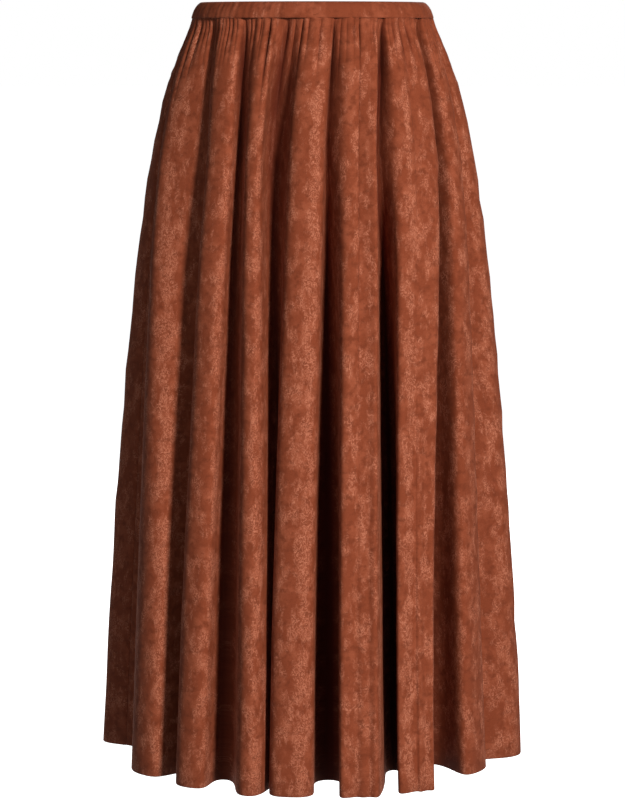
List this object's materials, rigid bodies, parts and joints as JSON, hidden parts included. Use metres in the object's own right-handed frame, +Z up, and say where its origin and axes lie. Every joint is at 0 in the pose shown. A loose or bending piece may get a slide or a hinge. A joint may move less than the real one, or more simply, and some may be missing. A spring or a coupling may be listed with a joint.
{
  "type": "gathered midi skirt",
  "caption": "Full midi skirt filled out as if worn: a narrow elastic waistband over two panels of soft suede-like cloth, gathered into deep flutes that fall to a level hem.",
  "frame": {"origin": "centre of the waist opening, at half the height of the waistband", "axes": "+Z up along the hang of the skirt, -Y toward the front, +X toward the side seam on the right in a front view"},
  "size_m": [0.4747, 0.4517, 0.8367],
  "materials": {
    "band cloth": "matt suede-like velour, rust brown",
    "skirt cloth": "soft suede-like velour with a mottled nap, rust brown"
  },
  "bodies": {
    "root": {"waistband": "band cloth", "front_panel": "skirt cloth", "back_panel": "skirt cloth"}
  },
  "joints": []
}
